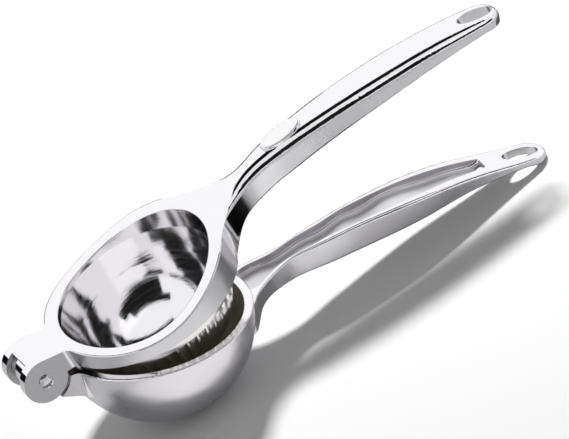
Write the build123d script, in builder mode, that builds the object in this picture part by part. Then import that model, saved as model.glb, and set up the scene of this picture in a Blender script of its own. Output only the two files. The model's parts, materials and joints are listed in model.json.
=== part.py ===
"""Hand-held citrus juicer: two hinged levers, a fluted press cup over a drained bowl.

Millimetres, +Z up. The juicer lies open on a table, on the bottom of its bowl and the tip
of the bowl lever. The origin is on the table, under the middle of the whole juicer.
Each lever is drawn in a plane of its own: its origin is the middle of the hinge pin, its
x runs towards the grip, its z away from the bowl, and both planes meet when the jaws close.
"""
from build123d import *
import os
from math import acos, asin, atan2, cos, hypot, pi, radians, sin, sqrt, tan

os.makedirs("parts", exist_ok=True)

# Hinge
pin_radius = 2.6
pin_dome = 0.8
pin_fit = 0.04
ear_radius = 9.0
hinge_width = 20.6
tongue_width = 11.4
tongue_side_gap = 0.25
barrel_radius = 7.0
barrel_gap = 0.35
shoulder_gap = 1.3
countersink = 0.5
plate_end = 3.0
plate_slope = 14.0
tongue_slope = 22.2
arm_blend = 3.0

# Jaws
hinge_to_bowl = 11.8
rim_drop = 2.4
seat_gap = 0.3
opening_angle = 13.8

# Bowl
bowl_radius = 38.4
bowl_wall = 3.7
bowl_centre_rise = 0.8
rim_round = 0.6
drain_radius = 1.7
drain_rings = ((1, 0.0), (6, 12.0), (12, 24.0))

# Press cup
press_gap = 1.1
cup_wall = 2.4
mouth_inset = 0.6
mouth_foot = 1.3
flute_count = 44
flute_width_share = 0.96
flute_depth_share = 0.48
flute_start_angle = 9.0
flute_end_angle = 62.0
flute_run_out = 9.0
collar_lip = 0.4
ring_round = 0.5
foot_clear = 0.5
dip_set_back = 13.9
dip_radius = 93.0
neck_height = 13.4

# Press lever
press_grip = 133.4
press_half_width = 9.5
press_crown = 20.7
press_round = 4.0
press_belly_round = 1.2
press_tip_tilt = 15.6

# Bowl lever
bowl_grip = 127.9
bowl_half_width = 10.3
bowl_crown = 4.3
bowl_round = 1.2
bowl_belly_round = 1.2
bowl_tip_tilt = 13.0
hollow_round = 1.4

# Hanging eyes
eye_length = 14.4
eye_width = 7.6
press_eye_margin = 2.0
bowl_eye_margin = 2.9

# Oval boss on the neck of the press lever
badge_length = 18.0
badge_width = 9.8
badge_height = 1.1
badge_seat = 0.6
badge_fit = 0.03
badge_round = 0.4
badge_tilt = 2.5
badge_place_share = 0.30
badge_rise_share = 0.988

overrun = 60.0

# Sections of each grip, one row a station. The shares are: the place along the grip, from the
# edge of the jaws (0) to the middle of the round tip (1); the half width, as a share of the
# grip's; the heights of the top and the underside, as shares of the crown's; the edge rounds.
press_station_shares = [
    (-0.079, 2.72, 0.572, -0.05, 0.09), (-0.032, 2.01, 0.643, -0.02, 0.10),
    (0.008, 1.47, 0.695, 0.06, 0.26), (0.048, 1.07, 0.738, 0.165, 0.52),
    (0.101, 0.71, 0.800, 0.225, 0.80), (0.169, 0.605, 0.898, 0.29, 0.95),
    (0.259, 0.73, 0.978, 0.38, 1.0), (0.360, 0.84, 1.0, 0.44, 1.0), (0.498, 0.95, 0.985, 0.48, 1.0),
    (0.646, 1.0, 0.925, 0.478, 1.0), (0.783, 0.975, 0.83, 0.45, 0.95),
    (0.905, 0.90, 0.70, 0.39, 0.80), (1.0, 0.81, 0.564, 0.322, 0.60)]
bowl_station_shares = [
    (-0.079, 1.75, -0.80, -3.5, 0.3), (-0.037, 1.72, -0.69, -3.05, 0.4),
    (0.005, 1.19, -0.60, -2.30, 0.5), (0.053, 0.88, -0.27, -1.88, 0.5),
    (0.106, 0.68, 0.06, -1.80, 0.5), (0.158, 0.575, 0.35, -1.75, 0.5), (0.238, 0.69, 0.62, -1.66, 0.7),
    (0.359, 0.83, 0.93, -1.52, 0.9), (0.486, 0.95, 1.04, -1.33, 1.0), (0.613, 1.0, 0.98, -1.09, 1.0),
    (0.739, 0.92, 0.70, -0.82, 1.0), (0.845, 0.81, 0.20, -0.90, 1.0), (0.940, 0.74, -0.35, -1.12, 0.9),
    (1.0, 0.68, -0.64, -1.41, 0.7)]
# Hollows of the grips, one row a station: the place, the half width and the height of the floor
trough_station_shares = [
    (-0.005, 0.68, -1.16), (0.012, 0.77, -1.245), (0.048, 0.71, -1.08), (0.095, 0.515, -0.815),
    (0.153, 0.456, -0.51), (0.238, 0.525, -0.186), (0.359, 0.63, 0.14), (0.486, 0.68, 0.244),
    (0.613, 0.665, 0.186), (0.718, 0.56, -0.023), (0.792, 0.46, -0.256), (0.829, 0.40, -0.28),
    (0.847, 0.36, 0.128)]
underside_station_shares = [
    (0.196, 0.34, 0.40), (0.259, 0.45, 0.575), (0.360, 0.56, 0.633), (0.498, 0.68, 0.673),
    (0.646, 0.72, 0.671), (0.783, 0.64, 0.614), (0.847, 0.44, 0.486)]

jaw_reach = hinge_to_bowl + bowl_radius
jaw_edge = jaw_reach + bowl_radius
rim_height = -rim_drop
seat_height = rim_height + seat_gap
bowl_centre = rim_height + bowl_centre_rise
inner_radius = bowl_radius - bowl_wall
middle_radius = bowl_radius - bowl_wall / 2
dome_radius = inner_radius - press_gap
cup_radius = dome_radius - cup_wall
mouth_radius = dome_radius - mouth_inset
collar_radius = bowl_radius + collar_lip
ring_x = jaw_reach + collar_lip
ring_middle = (mouth_radius + collar_radius) / 2
slot_half = tongue_width / 2 + tongue_side_gap
slot_radius = barrel_radius + barrel_gap
shoulder_radius = ear_radius + shoulder_gap
press_tip = press_station_shares[-1][1] * press_half_width
bowl_tip = bowl_station_shares[-1][1] * bowl_half_width


def tip_corner(station, tip_x, half_width, crown, tilt, edge_round, below):
    """Middle of the edge round at the end of a tip, on its top or on its underside."""
    width, top, belly, bend = station[1:]
    reach = width * half_width - bend * edge_round
    depth = (top - belly) * crown - bend * edge_round if below else bend * edge_round
    return (tip_x + reach * cos(tilt) - depth * sin(tilt),
            top * crown - reach * sin(tilt) - depth * cos(tilt), bend * edge_round)


# Rest pose: the bottom of the bowl and the tip of the bowl lever both touch the table.
heel_x, heel_z, heel_round = tip_corner(bowl_station_shares[-1], jaw_edge + bowl_grip - bowl_tip,
                                        bowl_half_width, bowl_crown, radians(bowl_tip_tilt),
                                        bowl_belly_round, True)
pitch = (asin((bowl_radius - heel_round) / hypot(heel_x - jaw_reach, heel_z - bowl_centre))
         + atan2(heel_z - bowl_centre, heel_x - jaw_reach))
press_rise = radians(opening_angle) - pitch
pin_height = bowl_radius + jaw_reach * sin(pitch) - bowl_centre * cos(pitch)
nose_x, nose_z, nose_round = tip_corner(press_station_shares[-1], jaw_edge + press_grip - press_tip,
                                        press_half_width, press_crown, radians(press_tip_tilt),
                                        press_round, False)
pin_x = (ear_radius - nose_x * cos(press_rise) + nose_z * sin(press_rise) - nose_round) / 2


def lever_plane(rise):
    """Plane of a lever whose grip points up from the level by this angle in radians."""
    return Plane(origin=(pin_x, 0, pin_height), x_dir=(cos(rise), 0, sin(rise)),
                 z_dir=(-sin(rise), 0, cos(rise)))


def side_of(lever, y=0.0):
    """Plane along a lever, seen from the right: x towards the grip, y up."""
    return Plane(origin=lever.from_local_coords((0, y, 0)), x_dir=lever.x_dir, z_dir=-lever.y_dir)


def across(lever, x, z, tilt):
    """Plane across a grip with its origin on the grip's top: x to the right hand, y up."""
    along_grip = lever.x_dir * cos(tilt) - lever.z_dir * sin(tilt)
    return Plane(origin=lever.from_local_coords((x, 0, z)), x_dir=-lever.y_dir,
                 z_dir=-along_grip)


def level_at(lever, x, z):
    """Plane parallel to a lever's own, over the middle line."""
    return Plane(origin=lever.from_local_coords((x, 0, z)), x_dir=lever.x_dir, z_dir=lever.z_dir)


def jaw_axis(lever):
    return Axis(lever.from_local_coords((jaw_reach, 0, 0)), lever.z_dir)


bowl_plane = lever_plane(-pitch)
press_plane = lever_plane(press_rise)


def right_half(half_width, belly, top_round, belly_round):
    """Outline of the right half of a grip's section, from the top's middle to the underside's."""
    swing = 1 - cos(radians(45))
    Line((0, 0), (half_width - top_round, 0))
    ThreePointArc((half_width - top_round, 0), (half_width - top_round * swing, -top_round * swing),
                  (half_width, -top_round))
    Line((half_width, -top_round), (half_width, belly + belly_round))
    ThreePointArc((half_width, belly + belly_round),
                  (half_width - belly_round * swing, belly + belly_round * swing),
                  (half_width - belly_round, belly))
    Line((half_width - belly_round, belly), (0, belly))


def grip_sections(lever, stations, length, half_width, crown, top_round, belly_round, tip_tilt):
    """Sections of a grip, and the right half of the last one, which turns into the tip."""
    sections = []
    for place, width, top, belly, bend in stations:
        tilt = radians(tip_tilt) if place == 1 else 0.0
        plane = across(lever, jaw_edge + place * length, top * crown, tilt)
        with BuildSketch(plane) as half:
            with BuildLine():
                right_half(width * half_width, (belly - top) * crown,
                           bend * top_round, bend * belly_round)
                Line((0, (belly - top) * crown), (0, 0))
            make_face()
        with BuildSketch(plane) as whole:
            with BuildLine():
                right_half(width * half_width, (belly - top) * crown,
                           bend * top_round, bend * belly_round)
                mirror(about=Plane.YZ)
            make_face()
        sections.append(whole.sketch)
    return sections, half.sketch, Axis(plane.origin, plane.y_dir)


with BuildPart() as press_handle:
    sections, half, tip_axis = grip_sections(
        press_plane, press_station_shares, press_grip - press_tip, press_half_width, press_crown,
        press_round, press_belly_round, press_tip_tilt)
    loft(sections)
    revolve(half, tip_axis, 180)
with BuildPart() as bowl_handle:
    sections, half, tip_axis = grip_sections(
        bowl_plane, bowl_station_shares, bowl_grip - bowl_tip, bowl_half_width, bowl_crown,
        bowl_round, bowl_belly_round, bowl_tip_tilt)
    loft(sections)
    revolve(half, tip_axis, 180)


def hollow_sections(lever, stations, length, half_width, crown, beyond):
    """Sections of a hollow in a grip, from its floor out past the grip's top (or underside)."""
    sections = []
    for place, width, floor in stations:
        with BuildSketch(across(lever, jaw_edge + place * length, floor * crown, 0.0)) as section:
            with Locations((0, beyond / 2)):
                Rectangle(2 * width * half_width, abs(beyond))
            fillet(sorted(section.vertices(), key=lambda corner: abs(corner.Y))[:2], hollow_round)
        sections.append(section.sketch)
    return sections


def eye(lever, x):
    with BuildSketch(level_at(lever, x, -overrun)) as outline:
        Ellipse(eye_length / 2, eye_width / 2)
    return outline.sketch


press_eye = eye(press_plane, jaw_edge + press_grip - press_eye_margin - eye_length / 2)
bowl_eye = eye(bowl_plane, jaw_edge + bowl_grip - bowl_eye_margin - eye_length / 2)
with press_handle:
    loft(hollow_sections(press_plane, underside_station_shares, press_grip - press_tip,
                         press_half_width, press_crown, -overrun / 2), mode=Mode.SUBTRACT)
    extrude(press_eye, 2 * overrun, mode=Mode.SUBTRACT)
with bowl_handle:
    loft(hollow_sections(bowl_plane, trough_station_shares, bowl_grip - bowl_tip,
                         bowl_half_width, bowl_crown, overrun / 4), mode=Mode.SUBTRACT)
    extrude(bowl_eye, 2 * overrun, mode=Mode.SUBTRACT)


# Side view of the press lever's jaw: disc at the hinge, sloping plate, dip, rise to the grip
plate_lean = radians(plate_slope)
plate_foot = (ear_radius * sin(plate_lean), ear_radius * cos(plate_lean))
dip_place = jaw_reach - dip_set_back
dip_start_x = dip_place - dip_radius * sin(plate_lean)
dip_start = (dip_start_x, plate_foot[1] - (dip_start_x - plate_foot[0]) * tan(plate_lean))
dip_low = (dip_place, dip_start[1] - dip_radius * (1 - cos(plate_lean)))
neck_run = jaw_edge - dip_place
neck_sink = neck_height - dip_low[1] - dip_radius
rise_lean = atan2(neck_sink, neck_run) + asin(dip_radius / hypot(neck_sink, neck_run))
dip_turn = (dip_place + dip_radius * sin(rise_lean), dip_low[1] + dip_radius * (1 - cos(rise_lean)))
rise_end_x = dip_turn[0] + overrun
rise_end = (rise_end_x, dip_turn[1] + overrun * tan(rise_lean))
seat_on_ear = (sqrt(ear_radius ** 2 - seat_height ** 2), seat_height)

with BuildSketch(side_of(press_plane, overrun)) as press_side:
    Circle(ear_radius)
    with BuildLine():
        Line((0, 0), plate_foot)
        Line(plate_foot, dip_start)
        ThreePointArc(dip_start, dip_low, dip_turn)
        Line(dip_turn, rise_end)
        Line(rise_end, (rise_end_x, seat_height))
        Line((rise_end_x, seat_height), seat_on_ear)
        Line(seat_on_ear, (0, 0))
    make_face()

with BuildSketch(side_of(press_plane, overrun)) as above_rise:
    Polygon(dip_turn, rise_end, (rise_end_x, overrun), (dip_turn[0], overrun), align=None)

# Side view of the bowl lever's arm: barrel round the pin, arm sloping down to the bowl
tongue_lean = radians(tongue_slope)
tongue_foot = (-barrel_radius * sin(tongue_lean), -barrel_radius * cos(tongue_lean))
arm_end_x = jaw_reach - bowl_radius + 2 * bowl_wall
arm_end_z = tongue_foot[1] - (arm_end_x - tongue_foot[0]) * tan(tongue_lean)

with BuildSketch(side_of(bowl_plane, overrun)) as bowl_side:
    Circle(barrel_radius)
    with BuildLine():
        Polyline((0, 0), (sqrt(barrel_radius ** 2 - rim_height ** 2), rim_height),
                 (arm_end_x, rim_height), (arm_end_x, arm_end_z), tongue_foot, (0, 0))
    make_face()


def arm_plan(lever, ring_x, ring_radius):
    """Plan of a jaw's arm: as wide as the hinge, with round inner corners against the ring."""
    blend_y = hinge_width / 2 + arm_blend
    blend_x = ring_x - sqrt((ring_radius + arm_blend) ** 2 - blend_y ** 2)
    meet_y = blend_y * ring_radius / (ring_radius + arm_blend)
    meet_x = ring_x - (ring_x - blend_x) * ring_radius / (ring_radius + arm_blend)
    with BuildSketch(level_at(lever, 0, -overrun)) as plan:
        with Locations(((ring_x - ear_radius) / 2, 0)):
            Rectangle(ring_x + ear_radius, hinge_width)
        with Locations(((ring_x + blend_x) / 2, 0)):
            Rectangle(ring_x - blend_x, 2 * meet_y)
        with Locations((blend_x, blend_y), (blend_x, -blend_y)):
            Circle(arm_blend, mode=Mode.SUBTRACT)
    return plan.sketch


def disc_at(plane, x, radius):
    with BuildSketch(plane) as disc:
        with Locations((x, 0)):
            Circle(radius)
    return disc.sketch


def tongue_plan(lever, half_width):
    with BuildSketch(level_at(lever, 0, -overrun)) as plan:
        with Locations(((arm_end_x - ear_radius) / 2, 0)):
            Rectangle(arm_end_x + ear_radius, 2 * half_width)
    return plan.sketch


# Press lever: ring of the cup
with BuildPart() as press_ring:
    extrude(disc_at(level_at(press_plane, 0, -overrun), ring_x, collar_radius), 2 * overrun)
    extrude(press_side.sketch, 2 * overrun, mode=Mode.INTERSECT)
    extrude(disc_at(level_at(press_plane, 0, -overrun), jaw_reach, mouth_radius), 2 * overrun,
            mode=Mode.SUBTRACT)
    top_edges = [edge for edge in press_ring.edges()
                 if press_plane.to_local_coords(edge).bounding_box().min.Z > seat_height + foot_clear]
    fillet(top_edges, ring_round)

# Press lever: fluted dome of the cup. Every flute is a groove of round section whose path is
# an arc centred below the dome's own centre, so that it runs out towards the bottom.
dome_side = side_of(press_plane)
mouth_rise = mouth_foot - bowl_centre
taper_angle = acos(cup_radius / hypot(mouth_radius, mouth_rise)) - atan2(mouth_rise, mouth_radius)
taper_foot = (jaw_reach + cup_radius * cos(taper_angle), bowl_centre - cup_radius * sin(taper_angle))
flute_radius = flute_width_share * dome_radius * sin(pi / flute_count)
flute_depth = flute_depth_share * flute_radius
flute_start = radians(flute_start_angle)
flute_end = radians(flute_end_angle)
path_drop = flute_depth / (sin(flute_end) - sin(flute_start))
path_radius = dome_radius - path_drop * sin(flute_end) + flute_radius

with BuildPart() as press_dome:
    with BuildSketch(dome_side) as dome_profile:
        with BuildLine():
            Line((jaw_reach, bowl_centre - cup_radius), (jaw_reach, bowl_centre - dome_radius))
            RadiusArc((jaw_reach, bowl_centre - dome_radius), (jaw_reach + dome_radius, bowl_centre),
                      -dome_radius)
            Polyline((jaw_reach + dome_radius, bowl_centre), (jaw_reach + dome_radius, mouth_foot),
                     (jaw_reach + mouth_radius, mouth_foot), taper_foot)
            RadiusArc(taper_foot, (jaw_reach, bowl_centre - cup_radius), cup_radius)
        make_face()
    revolve(dome_profile.sketch, jaw_axis(press_plane))
    path_middle = press_plane.from_local_coords((jaw_reach, 0, bowl_centre - path_drop))
    for number in range(flute_count):
        turn = radians(360 * (number + 1 / 2) / flute_count)
        outward = press_plane.x_dir * cos(turn) + press_plane.y_dir * sin(turn)
        arm_out = outward * cos(flute_start) - press_plane.z_dir * sin(flute_start)
        groove_axis = Axis(path_middle, press_plane.z_dir.cross(outward))
        groove_start = Plane(origin=path_middle + arm_out * path_radius, x_dir=arm_out,
                             z_dir=groove_axis.direction.cross(arm_out))
        with BuildSketch(groove_start) as groove:
            Circle(flute_radius)
        revolve(groove.sketch, groove_axis, flute_end_angle + flute_run_out - flute_start_angle,
                mode=Mode.SUBTRACT)

with BuildPart() as press_arm:
    extrude(arm_plan(press_plane, ring_x, collar_radius), 2 * overrun)
    extrude(press_side.sketch, 2 * overrun, mode=Mode.INTERSECT)
    extrude(disc_at(level_at(press_plane, 0, -overrun), jaw_reach, ring_middle), 2 * overrun,
            mode=Mode.SUBTRACT)
    with BuildSketch(side_of(press_plane, slot_half)) as slot:
        Circle(slot_radius)
        Polygon((-plate_end, ear_radius), (-plate_end, -ear_radius), (-shoulder_radius, -ear_radius),
                (-shoulder_radius, ear_radius), align=None)
        Polygon((-shoulder_radius, seat_height), (shoulder_radius, seat_height),
                (shoulder_radius, -shoulder_radius), (-shoulder_radius, -shoulder_radius), align=None)
    extrude(slot.sketch, 2 * slot_half, mode=Mode.SUBTRACT)
    extrude(disc_at(side_of(press_plane, overrun), 0, pin_radius), 2 * overrun, mode=Mode.SUBTRACT)
    bore_mouths = [edge for edge in press_arm.edges().filter_by(GeomType.CIRCLE)
                   if abs(edge.radius - pin_radius) < pin_fit
                   and abs(edge.center().Y) > slot_half + countersink]
    chamfer(bore_mouths, countersink)

with press_handle:
    extrude(above_rise.sketch, 2 * overrun, mode=Mode.SUBTRACT)
    extrude(disc_at(level_at(press_plane, 0, -overrun), jaw_reach, ring_middle), 2 * overrun,
            mode=Mode.SUBTRACT)

# Press lever in one piece, with the pocket for the boss
badge_plane = across(press_plane, jaw_edge + badge_place_share * (press_grip - press_tip),
                     badge_rise_share * press_crown, radians(-badge_tilt))
badge_plane = Plane(origin=badge_plane.origin, x_dir=-badge_plane.z_dir, z_dir=badge_plane.y_dir)
with press_handle:
    with BuildSketch(badge_plane.offset(-badge_seat)) as pocket:
        Ellipse(badge_length / 2 + badge_fit, badge_width / 2 + badge_fit)
    extrude(pocket.sketch, badge_seat + badge_height, mode=Mode.SUBTRACT, clean=False)
with BuildPart() as press_lever:
    add(press_ring.part)
    add(press_dome.part)
    add(press_arm.part)
    add(press_handle.part, clean=False)
press_lever.part.label = "press_lever"

with BuildPart() as badge:
    with BuildSketch(badge_plane.offset(-badge_seat)):
        Ellipse(badge_length / 2, badge_width / 2)
    extrude(amount=badge_seat + badge_height)
    fillet(badge.faces().sort_by(Axis.Z)[-1].edges(), badge_round)
badge.part.label = "badge"

# Hinge pin with domed ends
dome_curve = (pin_radius ** 2 + pin_dome ** 2) / (2 * pin_dome)
with BuildPart() as hinge_pin:
    with BuildSketch(level_at(press_plane, 0, 0)) as pin_profile:
        with BuildLine():
            Line((0, -hinge_width / 2 - pin_dome), (0, hinge_width / 2 + pin_dome))
            RadiusArc((0, hinge_width / 2 + pin_dome), (pin_radius, hinge_width / 2), dome_curve)
            Line((pin_radius, hinge_width / 2), (pin_radius, -hinge_width / 2))
            RadiusArc((pin_radius, -hinge_width / 2), (0, -hinge_width / 2 - pin_dome), dome_curve)
        make_face()
    revolve(pin_profile.sketch, Axis(press_plane.origin, press_plane.y_dir))
hinge_pin.part.label = "hinge_pin"

# Bowl lever: drained bowl with a round rim
with BuildPart() as bowl_shell:
    with BuildSketch(side_of(bowl_plane)) as bowl_profile:
        with Locations((jaw_reach, bowl_centre)):
            Circle(bowl_radius)
            Circle(inner_radius, mode=Mode.SUBTRACT)
        Polygon((jaw_reach - overrun, rim_height), (jaw_reach + overrun, rim_height),
                (jaw_reach + overrun, overrun), (jaw_reach - overrun, overrun),
                align=None, mode=Mode.SUBTRACT)
        Polygon((jaw_reach, overrun), (jaw_reach, -overrun), (-overrun, -overrun), (-overrun, overrun),
                align=None, mode=Mode.SUBTRACT)
        rim_corners = [corner for corner in bowl_profile.vertices()
                       if abs(corner.Y - rim_height) < seat_gap]
        fillet(rim_corners, rim_round)
    revolve(bowl_profile.sketch, jaw_axis(bowl_plane))
    for count, drain_angle in drain_rings:
        spread = middle_radius * sin(radians(drain_angle))
        with BuildSketch(level_at(bowl_plane, jaw_reach, -overrun)) as drain:
            with PolarLocations(spread, count):
                Circle(drain_radius)
        extrude(drain.sketch, overrun + bowl_centre, mode=Mode.SUBTRACT)


def ball_at(lever, radius):
    """Half disc beside the axis of a jaw, which turns into a ball."""
    with BuildSketch(side_of(lever)) as half_disc:
        with Locations((jaw_reach, bowl_centre)):
            Circle(radius)
        with Locations((jaw_reach - overrun, bowl_centre)):
            Rectangle(2 * overrun, 2 * overrun, mode=Mode.SUBTRACT)
    return half_disc.sketch


with BuildPart() as bowl_arm:
    extrude(arm_plan(bowl_plane, jaw_reach, bowl_radius), 2 * overrun)
    extrude(bowl_side.sketch, 2 * overrun, mode=Mode.INTERSECT)
    extrude(disc_at(side_of(bowl_plane, overrun), 0, shoulder_radius), 2 * overrun, mode=Mode.SUBTRACT)
with BuildPart() as bowl_tongue:
    extrude(tongue_plan(bowl_plane, tongue_width / 2), 2 * overrun)
    extrude(bowl_side.sketch, 2 * overrun, mode=Mode.INTERSECT)

with BuildPart() as bowl_lever:
    add(bowl_arm.part)
    add(bowl_tongue.part)
    add(bowl_handle.part)
    revolve(ball_at(bowl_plane, middle_radius), jaw_axis(bowl_plane), mode=Mode.SUBTRACT)
    add(bowl_shell.part)
    extrude(disc_at(side_of(bowl_plane, overrun), 0, pin_radius + pin_fit), 2 * overrun,
            mode=Mode.SUBTRACT)
bowl_lever.part.label = "bowl_lever"

export_step(press_lever.part, "parts/press_lever.step")
export_step(badge.part, "parts/badge.step")
export_step(hinge_pin.part, "parts/hinge_pin.step")
export_step(bowl_lever.part, "parts/bowl_lever.step")
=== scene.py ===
"""Looks of the hand-held citrus juicer: satin and polished cast metal, studio light and camera.

The solids of the CAD frame are shown as they are. Every finish is a node material on Object
coordinates, in metres, in the juicer's own frame. Where a place, a facing or a roughness below
is a pair, it holds the start and the end of a smooth change.
"""
import json

import bpy
import numpy as np
from mathutils import Matrix, Vector

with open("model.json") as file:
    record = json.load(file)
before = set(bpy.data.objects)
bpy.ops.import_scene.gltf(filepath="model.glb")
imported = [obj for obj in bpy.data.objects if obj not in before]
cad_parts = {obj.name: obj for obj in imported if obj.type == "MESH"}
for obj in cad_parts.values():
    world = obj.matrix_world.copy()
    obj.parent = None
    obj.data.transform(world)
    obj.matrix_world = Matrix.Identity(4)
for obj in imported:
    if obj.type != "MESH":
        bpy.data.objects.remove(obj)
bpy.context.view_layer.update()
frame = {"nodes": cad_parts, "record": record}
record = frame["record"]

MM = 0.001

# Camera, read from the photo: its right, down and forward directions, and what it looks at
CAMERA_RIGHT = Vector((0.81745, -0.4151, -0.39926))
CAMERA_DOWN = Vector((-0.55931, -0.4066, -0.72236))
CAMERA_FORWARD = Vector((0.13748, 0.8138, -0.56462))
AIM = Vector((2.62, -15.92, 53.41)) * MM
PICTURE_WIDTH = 213.9 * MM
CAMERA_DISTANCE = 0.8

# Juicer: middles of the cup and of the bowl, and how far each lever is from level in degrees
CUP_MIDDLE = Vector((-55.602, 0, 50.393)) * MM
BOWL_MIDDLE = Vector((-56.943, 0, 38.4)) * MM
PRESS_RISE = 2.356
BOWL_FALL = 11.444

# Press lever, from the middle of the cup: inside and outside of the dome, wall and foot of the
# mouth, inner and outer edge of the ring, start of the hinge ears
DOME_INSIDE = (31.9 * MM, 31.7 * MM)
DOME_OUTSIDE = (33.9 * MM, 33.8 * MM)
MOUTH_WALL = (33.35 * MM, 33.25 * MM)
MOUTH_FOOT = (-4.2 * MM, -3.8 * MM)
RING_INNER = (36.0 * MM, 36.5 * MM)
RING_OUTER = (39.5 * MM, 39.2 * MM)
EAR_START = (-38.5 * MM, -39.5 * MM)

# Bowl lever, from the middle of the bowl: height under the rim, inside and outside of the bowl,
# start of the hinge arm
UNDER_RIM = (-0.9 * MM, -1.5 * MM)
BOWL_INSIDE = (34.95 * MM, 34.8 * MM)
BOWL_OUTSIDE = (38.7 * MM, 38.5 * MM)
ARM_START = (-36.5 * MM, -37.5 * MM)

# Trough of the bowl lever: the highest place of the grip's top, its height there and how it
# bends down to both ends, then where the trough starts and how deep under that top it is
TROUGH_TOP_PLACE = 92.8 * MM
TROUGH_TOP = 6.0 * MM
TROUGH_TOP_BEND = 2.35
TROUGH_START = (37.5 * MM, 38.5 * MM)
TROUGH_DEPTH = (0.7 * MM, 1.3 * MM)

# Facing of a surface, as a part of its normal: flat sides, upright faces, faces turned up
SIDE_FACING = (0.90, 0.97)
UPRIGHT_FACING = (0.35, 0.25)
UP_FACING = (0.2, 0.5)

# Roughness of each finish, a pair where it changes with the wear
PRESS_TOP_ROUGH = (0.035, 0.075)
PRESS_SIDE_ROUGH = (0.24, 0.34)
CUP_ROUGH = (0.05, 0.14)
COLLAR_ROUGH = 0.26
FLUTES_ROUGH = 0.22
EAR_ROUGH = 0.34
BOWL_TOP_ROUGH = (0.05, 0.11)
BOWL_SATIN_ROUGH = (0.27, 0.37)
TROUGH_ROUGH = 0.36
BOWL_INSIDE_ROUGH = 0.60
PIN_ROUGH = (0.15, 0.26)
PLATE_ROUGH = (0.045, 0.078)

# Colour of each finish; some of them are painted light or painted shade, as said at each
BRIGHT = (0.80, 0.79, 0.81, 1)
# Inside of the cup: the same metal painted lighter, painted light against the darkening of its
# double reflections
CUP_PAINTED_LIGHT = (0.86, 0.85, 0.87, 1)
FLUTES_WARM = (0.86, 0.84, 0.83, 1)
# Collar, the ring's upright outer face: painted darker than the same metal, painted shade in
# place of a darker reflection
COLLAR_PAINTED_SHADE = (0.64, 0.63, 0.65, 1)
# Outer faces of the hinge ears: painted much darker than the same metal, painted shade in place
# of a darker reflection
EAR_PAINTED_SHADE = (0.38, 0.375, 0.385, 1)
SATIN = (0.78, 0.765, 0.795, 1)
TROUGH_PALE = (0.78, 0.77, 0.81, 1)
# Sides of the hinge arm: painted darker than the same satin metal, painted shade in place of a
# darker reflection
ARM_PAINTED_SHADE = (0.50, 0.49, 0.51, 1)
# Inside of the bowl: darker olive grey, painted shade for the shadow under the cup
BOWL_INSIDE_PAINTED_SHADE = (0.66, 0.63, 0.55, 1)
PIN_STEEL = (0.66, 0.66, 0.67, 1)
PLATE_BRIGHT = (0.80, 0.80, 0.81, 1)

# Wear and grain of each metal: patches a metre and levels of finer detail in them
PRESS_WEAR, PRESS_GRAIN = (90.0, 5.0), (2600.0, 2.0)
BOWL_WEAR, BOWL_GRAIN = (60.0, 2.0), (2400.0, 2.0)
PLAIN_WEAR, PIN_GRAIN, PLATE_GRAIN = (80.0, 4.0), (1500.0, 3.0), (900.0, 3.0)

# Range of the wear pattern over which the roughness changes
WEAR_RANGE = (0.3, 0.7)

# Depth of each grain, and how much of it the polished and the satin faces show
PRESS_DEPTH = 0.020 * MM
BOWL_DEPTH = 0.0012 * MM
PIN_DEPTH = 0.003 * MM
PLATE_DEPTH = 0.0006 * MM
PRESS_GRAIN_SHARES = (0.01, 0.22)
BOWL_GRAIN_SHARES = (0.1, 1.0)

# Turned scratches inside the cup: spacing, length in radians, unevenness and the range of their
# pattern over which the roughness changes
SCRATCH_SPACING = 0.75 * MM
SCRATCH_LENGTH = 0.28
SCRATCH_UNEVEN = 0.65
SCRATCH_RANGE = (0.35, 0.7)

# Studio: floor as the camera and as the metal sees it, and its lift to white further out
FLOOR_HALF = 3.0
FLOOR_SEEN = 0.88
FLOOR_MIRRORED = 0.54
FLOOR_FADE = (0.22, 0.70)
FLOOR_LIFT = 0.65
FLOOR_ROUGH = 0.9
KEY_FROM = Vector((0.294, 0.345, 0.891))
KEY_DISTANCE = 1.2
KEY_SIZE = 0.16
KEY_POWER = 14.5
SKY_MIRRORED = 1.0
SKY_SOFT = 0.26
WHITE = (1, 1, 1, 1)
CARD_BLACK = (0.01, 0.01, 0.01, 1)

# Distance of the white cards from what the camera looks at, and of the black ones from the cup.
# Two rows of black cards stand across the front, with a card of the lower row at each of these
# azimuths and one of the upper row turned further by this much.
CARD_DISTANCE = 1.3
FLAG_DISTANCE = 0.37
FLAG_AZIMUTHS = range(140, 220, 15)
UPPER_ROW_TURN = 16
UP = Vector((0, 0, 1))
DOWN = Vector((0, 0, -1))
TO_FRONT = Vector((0, -1, 0))


def node(tree, kind, **inputs):
    """A shader node with its settings and socket values, by name."""
    made = tree.nodes.new(kind)
    for name, value in inputs.items():
        if hasattr(made, name):
            setattr(made, name, value)
        else:
            made.inputs[name.replace("_", " ")].default_value = value
    return made


def feed(tree, socket, value):
    """Put a constant on a socket, or link an output to it."""
    if isinstance(value, bpy.types.NodeSocket):
        tree.links.new(value, socket)
    else:
        socket.default_value = value


def maths(tree, operation, *values):
    """Result of a sum on numbers or outputs."""
    made = node(tree, "ShaderNodeMath", operation=operation)
    for socket, value in zip(made.inputs, values):
        feed(tree, socket, value)
    return made.outputs[0]


def vector_maths(tree, operation, *values):
    """Result of a sum on vectors, which is a number for a length."""
    made = node(tree, "ShaderNodeVectorMath", operation=operation)
    for socket, value in zip(made.inputs, values):
        feed(tree, socket, value)
    return made.outputs["Value" if operation == "LENGTH" else "Vector"]


def ramp(tree, value, low, high, to_low=0.0, to_high=1.0):
    """Smooth change from one value to another while the input goes from low to high."""
    made = node(tree, "ShaderNodeMapRange", interpolation_type="SMOOTHSTEP")
    for name, given in (("Value", value), ("From Min", low), ("From Max", high),
                        ("To Min", to_low), ("To Max", to_high)):
        feed(tree, made.inputs[name], given)
    return made.outputs["Result"]


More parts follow.
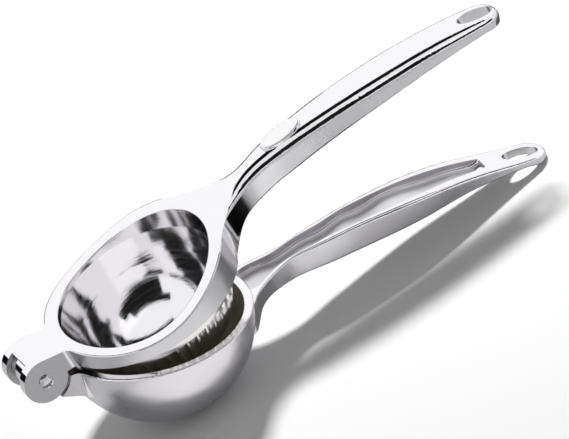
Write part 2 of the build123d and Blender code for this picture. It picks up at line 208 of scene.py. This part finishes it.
def blend(tree, factor, first, second):
    """Mix of two numbers or, where one of them is given as a colour, of two colours."""
    if isinstance(first, tuple) or isinstance(second, tuple):
        made = node(tree, "ShaderNodeMix", data_type="RGBA")
        sockets = (made.inputs[0], made.inputs[6], made.inputs[7])
        output = made.outputs[2]
    else:
        made = node(tree, "ShaderNodeMix", data_type="FLOAT")
        sockets = (made.inputs[0], made.inputs[2], made.inputs[3])
        output = made.outputs[0]
    for socket, value in zip(sockets, (factor, first, second)):
        feed(tree, socket, value)
    return output


def noise(tree, vector, scale, detail=3.0, uneven=0.55):
    """Uneven pattern from 0 to 1 with this many patches a metre."""
    made = node(tree, "ShaderNodeTexNoise", Scale=scale, Detail=detail, Roughness=uneven)
    feed(tree, made.inputs["Vector"], vector)
    return made.outputs["Fac"]


def bumped(tree, surface, height, depth):
    """Give a surface this height pattern, where 1 stands for the depth."""
    bump = node(tree, "ShaderNodeBump", Strength=1.0, Distance=depth)
    feed(tree, bump.inputs["Height"], height)
    feed(tree, surface.inputs["Normal"], bump.outputs["Normal"])


def material(name):
    """A new material, its node tree and its surface shader."""
    made = bpy.data.materials.new(name)
    made.use_nodes = True
    return made, made.node_tree, made.node_tree.nodes["Principled BSDF"]


def matt_material(name):
    """A new material without gloss, which shines white once it is given a strength."""
    made, tree, surface = material(name)
    surface.inputs["Specular IOR Level"].default_value = 0.0
    surface.inputs["Emission Color"].default_value = WHITE
    return made, tree, surface


def metal_material(name):
    """A new material of bare metal."""
    made, tree, surface = material(name)
    surface.inputs["Metallic"].default_value = 1.0
    return made, tree, surface


# Studio: floor, white and black cards, key lamp and world
def pale_floor():
    """Pale floor for the shadow: darker in the metal, lifted to white for the camera further
    out."""
    bpy.ops.mesh.primitive_plane_add(size=2 * FLOOR_HALF)
    floor = bpy.context.object
    floor.name = "studio_floor"
    made, tree, surface = matt_material("pale_floor")
    path = node(tree, "ShaderNodeLightPath")
    shade = blend(tree, path.outputs["Is Glossy Ray"], FLOOR_SEEN, FLOOR_MIRRORED)
    feed(tree, surface.inputs["Base Color"], shade)
    surface.inputs["Roughness"].default_value = FLOOR_ROUGH
    place = node(tree, "ShaderNodeTexCoord").outputs["Object"]
    lift = ramp(tree, vector_maths(tree, "LENGTH", place), *FLOOR_FADE, 0.0, FLOOR_LIFT)
    feed(tree, surface.inputs["Emission Strength"],
         maths(tree, "MULTIPLY", path.outputs["Is Camera Ray"], lift))
    floor.data.materials.append(made)


def card(name, place, facing, width, height, strength=0.0):
    """A flat card that faces in this direction and that only the metal's reflections show;
    strength 0 is a black card."""
    bpy.ops.mesh.primitive_plane_add(size=1)
    made = bpy.context.object
    made.name = name
    made.scale = (width, height, 1)
    made.rotation_euler = facing.to_track_quat("Z", "Y").to_euler()
    made.location = place
    made.visible_camera = False
    made.visible_diffuse = False
    made.visible_shadow = False
    finish, _, surface = matt_material(name + "_finish")
    surface.inputs["Base Color"].default_value = CARD_BLACK
    surface.inputs["Emission Strength"].default_value = strength
    made.data.materials.append(finish)


def card_round(name, middle, distance, azimuth, elevation, width, height, strength=0.0):
    """A card that faces a point, at a distance from it: azimuth in degrees round the juicer,
    with 0 straight behind it, and elevation in degrees above the level."""
    turn, rise = np.radians((azimuth, elevation))
    towards = Vector((np.sin(turn) * np.cos(rise), np.cos(turn) * np.cos(rise), np.sin(rise)))
    place = middle + towards * distance
    card(name, place, middle - place, width, height, strength)


def studio_cards():
    """White cards, called cards, for the light faces and black ones, called flags, for the dark
    shapes in the metal. Each comment says what the cards under it change in the picture."""
    # Light: tops of the ring and of both grips, then pale streaks in the cup
    card_round("back_card", AIM, CARD_DISTANCE, azimuth=5, elevation=33,
               width=2.4, height=1.3, strength=1.16)
    card_round("front_card", AIM, CARD_DISTANCE, azimuth=150, elevation=30,
               width=2.4, height=1.4, strength=1.12)
    # Dark: line along the press lever's grip and neck
    card("overhead_flag", (0.06, 0.125, 0.36), DOWN, width=0.44, height=0.25)
    # Dark: arch in the cup, bands at both ends of its mouth, trough, lower line on the grip
    for number, azimuth in enumerate(FLAG_AZIMUTHS):
        card_round("front_flag_%d" % number, CUP_MIDDLE, FLAG_DISTANCE, azimuth,
                   elevation=27, width=0.095, height=0.20)
        card_round("arch_flag_%d" % number, CUP_MIDDLE, FLAG_DISTANCE, azimuth + UPPER_ROW_TURN,
                   elevation=46, width=0.080, height=0.065)
    # Dark: patches at the far end of the mouth and in the trough
    card_round("right_flag", CUP_MIDDLE, FLAG_DISTANCE, azimuth=117, elevation=21,
               width=0.24, height=0.11)
    # Dark: thin far edges of the ring and neck, then those of both grips
    card("horizon_flag", (-0.35, 0.45, 0.10), TO_FRONT, width=0.9, height=0.20)
    card("low_horizon_flag", (0.35, 0.45, 0.05), TO_FRONT, width=0.5, height=0.10)
    # Dark: end of the press lever's tip, then the side of its neck
    card("tip_flag", (0.215, 0.05, 0.002), UP, width=0.13, height=0.14, strength=0.10)
    card("neck_flag", (0.034, -0.028, 0.036), UP, width=0.032, height=0.026)
    # Light: sides of the ring, the bowl, the grips and the hinge
    card("floor_card", (-0.055, -0.125, 0.002), UP, width=0.16, height=0.17, strength=0.95)


def key_lamp():
    """Soft lamp for the shadow, which the metal doesn't mirror."""
    lamp = bpy.data.lights.new("key_lamp", "AREA")
    lamp.size = KEY_SIZE
    lamp.energy = KEY_POWER
    made = bpy.data.objects.new("key_lamp", lamp)
    bpy.context.collection.objects.link(made)
    made.location = KEY_FROM * KEY_DISTANCE
    made.rotation_euler = KEY_FROM.to_track_quat("Z", "Y").to_euler()
    made.visible_glossy = False


def studio_world():
    """White surroundings for the camera and the metal, soft light for the floor."""
    world = bpy.data.worlds.new("studio")
    bpy.context.scene.world = world
    world.use_nodes = True
    tree = world.node_tree
    background = tree.nodes["Background"]
    background.inputs["Color"].default_value = WHITE
    path = node(tree, "ShaderNodeLightPath")
    sharp = maths(tree, "MAXIMUM", path.outputs["Is Camera Ray"], path.outputs["Is Glossy Ray"])
    feed(tree, background.inputs["Strength"], blend(tree, sharp, SKY_SOFT, SKY_MIRRORED))


# Metals
def lever_place(tree, middle, fall):
    """Place on the piece, place from one of its middles turned level, and the x, y and z parts
    of that second place and of the normal."""
    place = node(tree, "ShaderNodeTexCoord")
    moved = vector_maths(tree, "SUBTRACT", place.outputs["Object"], tuple(middle))
    turned = node(tree, "ShaderNodeVectorRotate", rotation_type="Y_AXIS", Angle=np.radians(fall))
    feed(tree, turned.inputs["Vector"], moved)
    parts = node(tree, "ShaderNodeSeparateXYZ")
    feed(tree, parts.inputs[0], turned.outputs[0])
    facing = node(tree, "ShaderNodeSeparateXYZ")
    feed(tree, facing.inputs[0], place.outputs["Normal"])
    return place.outputs["Object"], turned.outputs[0], parts.outputs, facing.outputs


def plain_metal(name, colour, rough, grain, depth):
    """Plain metal with uneven gloss and a fine cast grain."""
    made, tree, surface = metal_material(name)
    surface.inputs["Base Color"].default_value = colour
    place = node(tree, "ShaderNodeTexCoord").outputs["Object"]
    feed(tree, surface.inputs["Roughness"],
         ramp(tree, noise(tree, place, *PLAIN_WEAR), *WEAR_RANGE, *rough))
    bumped(tree, surface, noise(tree, place, *grain), depth)
    return made


def flat(tree, parts):
    """The place again, without its height."""
    made = node(tree, "ShaderNodeCombineXYZ")
    feed(tree, made.inputs[0], parts[0])
    feed(tree, made.inputs[1], parts[1])
    return made.outputs[0]


def scratches(tree, parts):
    """Height of turned scratches round the z axis: noise on the distance from the axis and the
    height, both in spacings, and on the angle round the axis, in lengths."""
    around = maths(tree, "ARCTAN2", parts[1], parts[0])
    out = vector_maths(tree, "LENGTH", flat(tree, parts))
    laid = node(tree, "ShaderNodeCombineXYZ")
    feed(tree, laid.inputs[0], maths(tree, "MULTIPLY", out, 1 / SCRATCH_SPACING))
    feed(tree, laid.inputs[1], maths(tree, "MULTIPLY", parts[2], 1 / SCRATCH_SPACING))
    feed(tree, laid.inputs[2], maths(tree, "MULTIPLY", around, 1 / SCRATCH_LENGTH))
    return noise(tree, laid.outputs[0], 1.0, uneven=SCRATCH_UNEVEN)


def press_metal(name):
    """Press lever: bright top, satin sides, turned inside of the cup, duller flutes, ears and
    collar, which is the upright outer face of the ring. The inside of the cup is painted
    lighter, which is painted light, and the ears and collar darker, which is painted shade."""
    made, tree, surface = metal_material(name)
    place, turned, parts, facing = lever_place(tree, CUP_MIDDLE, PRESS_RISE)
    reach = vector_maths(tree, "LENGTH", turned)
    out = vector_maths(tree, "LENGTH", flat(tree, parts))

    mouth = maths(tree, "MULTIPLY", ramp(tree, out, *MOUTH_WALL),
                  ramp(tree, parts[2], *MOUTH_FOOT))
    inside = maths(tree, "MAXIMUM", ramp(tree, reach, *DOME_INSIDE), mouth)
    fluted = maths(tree, "MULTIPLY", ramp(tree, reach, *reversed(DOME_INSIDE)),
                   ramp(tree, reach, *DOME_OUTSIDE))
    fluted = maths(tree, "MULTIPLY", fluted, maths(tree, "SUBTRACT", 1.0, mouth))
    side = ramp(tree, maths(tree, "ABSOLUTE", facing[1]), *SIDE_FACING)
    ear = maths(tree, "MULTIPLY", side, ramp(tree, parts[0], *EAR_START))
    collar = maths(tree, "MULTIPLY", ramp(tree, out, *RING_OUTER),
                   ramp(tree, maths(tree, "ABSOLUTE", facing[2]), *UPRIGHT_FACING))
    collar = maths(tree, "MULTIPLY", collar, ramp(tree, out, *RING_INNER))

    wear = noise(tree, place, *PRESS_WEAR)
    turned_marks = scratches(tree, parts)
    rough = blend(tree, side, ramp(tree, wear, *WEAR_RANGE, *PRESS_TOP_ROUGH),
                  ramp(tree, wear, *WEAR_RANGE, *PRESS_SIDE_ROUGH))
    rough = blend(tree, inside, rough, ramp(tree, turned_marks, *SCRATCH_RANGE, *CUP_ROUGH))
    rough = blend(tree, collar, rough, COLLAR_ROUGH)
    rough = blend(tree, fluted, rough, FLUTES_ROUGH)
    feed(tree, surface.inputs["Roughness"], blend(tree, ear, rough, EAR_ROUGH))

    # Inside of the cup painted lighter: painted light
    shade = blend(tree, inside, BRIGHT, CUP_PAINTED_LIGHT)
    shade = blend(tree, fluted, shade, FLUTES_WARM)
    # Collar painted darker: painted shade
    shade = blend(tree, collar, shade, COLLAR_PAINTED_SHADE)
    # Ears painted darker: painted shade
    feed(tree, surface.inputs["Base Color"], blend(tree, ear, shade, EAR_PAINTED_SHADE))

    grain = maths(tree, "MULTIPLY", noise(tree, place, *PRESS_GRAIN),
                  blend(tree, side, *PRESS_GRAIN_SHARES))
    bumped(tree, surface, blend(tree, inside, grain, turned_marks), PRESS_DEPTH)
    return made


def bowl_metal(name):
    """Bowl lever: satin sides and outside of the bowl, bright rim and grip, grey arm, pale
    trough and dull inside of the bowl. The arm is painted darker grey and the inside of the bowl
    darker olive grey, both painted shade. The trough is what faces up and lies under the grip's
    top, which bends as a parabola along the lever."""
    made, tree, surface = metal_material(name)
    place, turned, parts, facing = lever_place(tree, BOWL_MIDDLE, -BOWL_FALL)
    reach = vector_maths(tree, "LENGTH", turned)

    below = ramp(tree, parts[2], *UNDER_RIM)
    inside = maths(tree, "MULTIPLY", ramp(tree, reach, *BOWL_INSIDE), below)
    ball = maths(tree, "MULTIPLY", ramp(tree, reach, *BOWL_OUTSIDE), below)
    side = ramp(tree, maths(tree, "ABSOLUTE", facing[1]), *SIDE_FACING)
    satin = maths(tree, "MAXIMUM", side, ball)
    arm = maths(tree, "MULTIPLY", side, ramp(tree, parts[0], *ARM_START))
    along = maths(tree, "SUBTRACT", parts[0], TROUGH_TOP_PLACE)
    drop = maths(tree, "MULTIPLY", maths(tree, "MULTIPLY", along, along), TROUGH_TOP_BEND)
    depth = maths(tree, "SUBTRACT", maths(tree, "SUBTRACT", TROUGH_TOP, parts[2]), drop)
    trough = maths(tree, "MULTIPLY", ramp(tree, depth, *TROUGH_DEPTH),
                   maths(tree, "MULTIPLY", ramp(tree, facing[2], *UP_FACING),
                         ramp(tree, parts[0], *TROUGH_START)))

    wear = noise(tree, place, *BOWL_WEAR)
    rough = blend(tree, satin, ramp(tree, wear, *WEAR_RANGE, *BOWL_TOP_ROUGH),
                  ramp(tree, wear, *WEAR_RANGE, *BOWL_SATIN_ROUGH))
    rough = blend(tree, trough, rough, TROUGH_ROUGH)
    feed(tree, surface.inputs["Roughness"], blend(tree, inside, rough, BOWL_INSIDE_ROUGH))

    shade = blend(tree, satin, BRIGHT, SATIN)
    shade = blend(tree, trough, shade, TROUGH_PALE)
    # Hinge arm painted darker: painted shade
    shade = blend(tree, arm, shade, ARM_PAINTED_SHADE)
    # Inside of the bowl painted darker: painted shade
    feed(tree, surface.inputs["Base Color"], blend(tree, inside, shade, BOWL_INSIDE_PAINTED_SHADE))

    grain = maths(tree, "MULTIPLY", noise(tree, place, *BOWL_GRAIN),
                  blend(tree, satin, *BOWL_GRAIN_SHARES))
    bumped(tree, surface, grain, BOWL_DEPTH)
    return made


def fitted_camera():
    """Camera with parallel rays, set up as the photo was taken."""
    data = bpy.data.cameras.new("camera")
    data.type = "ORTHO"
    data.ortho_scale = PICTURE_WIDTH
    made = bpy.data.objects.new("camera", data)
    bpy.context.collection.objects.link(made)
    forward = CAMERA_FORWARD.normalized()
    axes = Matrix((CAMERA_RIGHT.normalized(), -CAMERA_DOWN.normalized(), -forward))
    made.matrix_world = (Matrix.Translation(AIM - forward * CAMERA_DISTANCE)
                         @ axes.transposed().to_4x4())
    bpy.context.scene.camera = made


pale_floor()
key_lamp()
studio_world()
studio_cards()

finishes = {
    "satin_cast_metal": bowl_metal("satin_cast_metal"),
    "polished_cast_metal": press_metal("polished_cast_metal"),
    "pin_steel": plain_metal("pin_steel", PIN_STEEL, PIN_ROUGH, PIN_GRAIN, PIN_DEPTH),
    "bright_plate": plain_metal("bright_plate", PLATE_BRIGHT, PLATE_ROUGH, PLATE_GRAIN,
                                PLATE_DEPTH),
}
for part in record["subparts"]:
    shown = frame["nodes"][part["node"]]
    shown.data.materials.clear()
    shown.data.materials.append(finishes[part["material_slot"]])

fitted_camera()
bpy.context.scene.view_settings.view_transform = "Standard"
